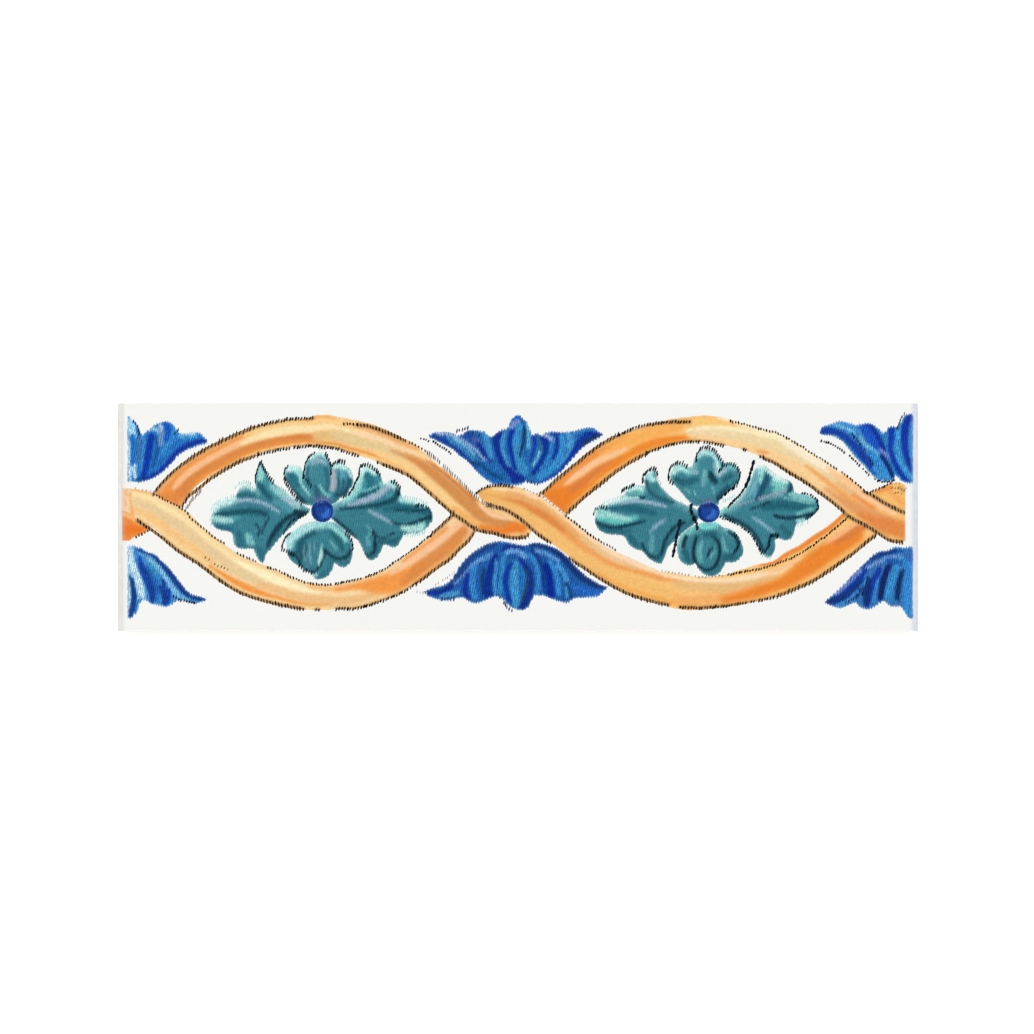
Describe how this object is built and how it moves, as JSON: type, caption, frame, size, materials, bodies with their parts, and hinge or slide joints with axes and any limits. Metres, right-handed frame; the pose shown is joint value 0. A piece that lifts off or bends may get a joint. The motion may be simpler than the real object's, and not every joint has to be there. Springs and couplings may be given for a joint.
{
  "type": "border tile",
  "caption": "Narrow glazed ceramic wall tile with a painted interlaced-ribbon border, rolled face edges and a waffle-keyed back for adhesive.",
  "frame": {"origin": "centre of the back, in the plane that the tile rests on", "axes": "+X along the tile's length, to the right as the pattern is read; +Y across its width, to the pattern's top; +Z out of the painted face"},
  "size_m": [0.2, 0.057, 0.0069],
  "materials": {
    "glazed_body": "glossy off-white glaze with painted ornament on the face; bare pale clay on the edges and back"
  },
  "bodies": {
    "root": {"border_tile": "glazed_body"}
  },
  "joints": []
}
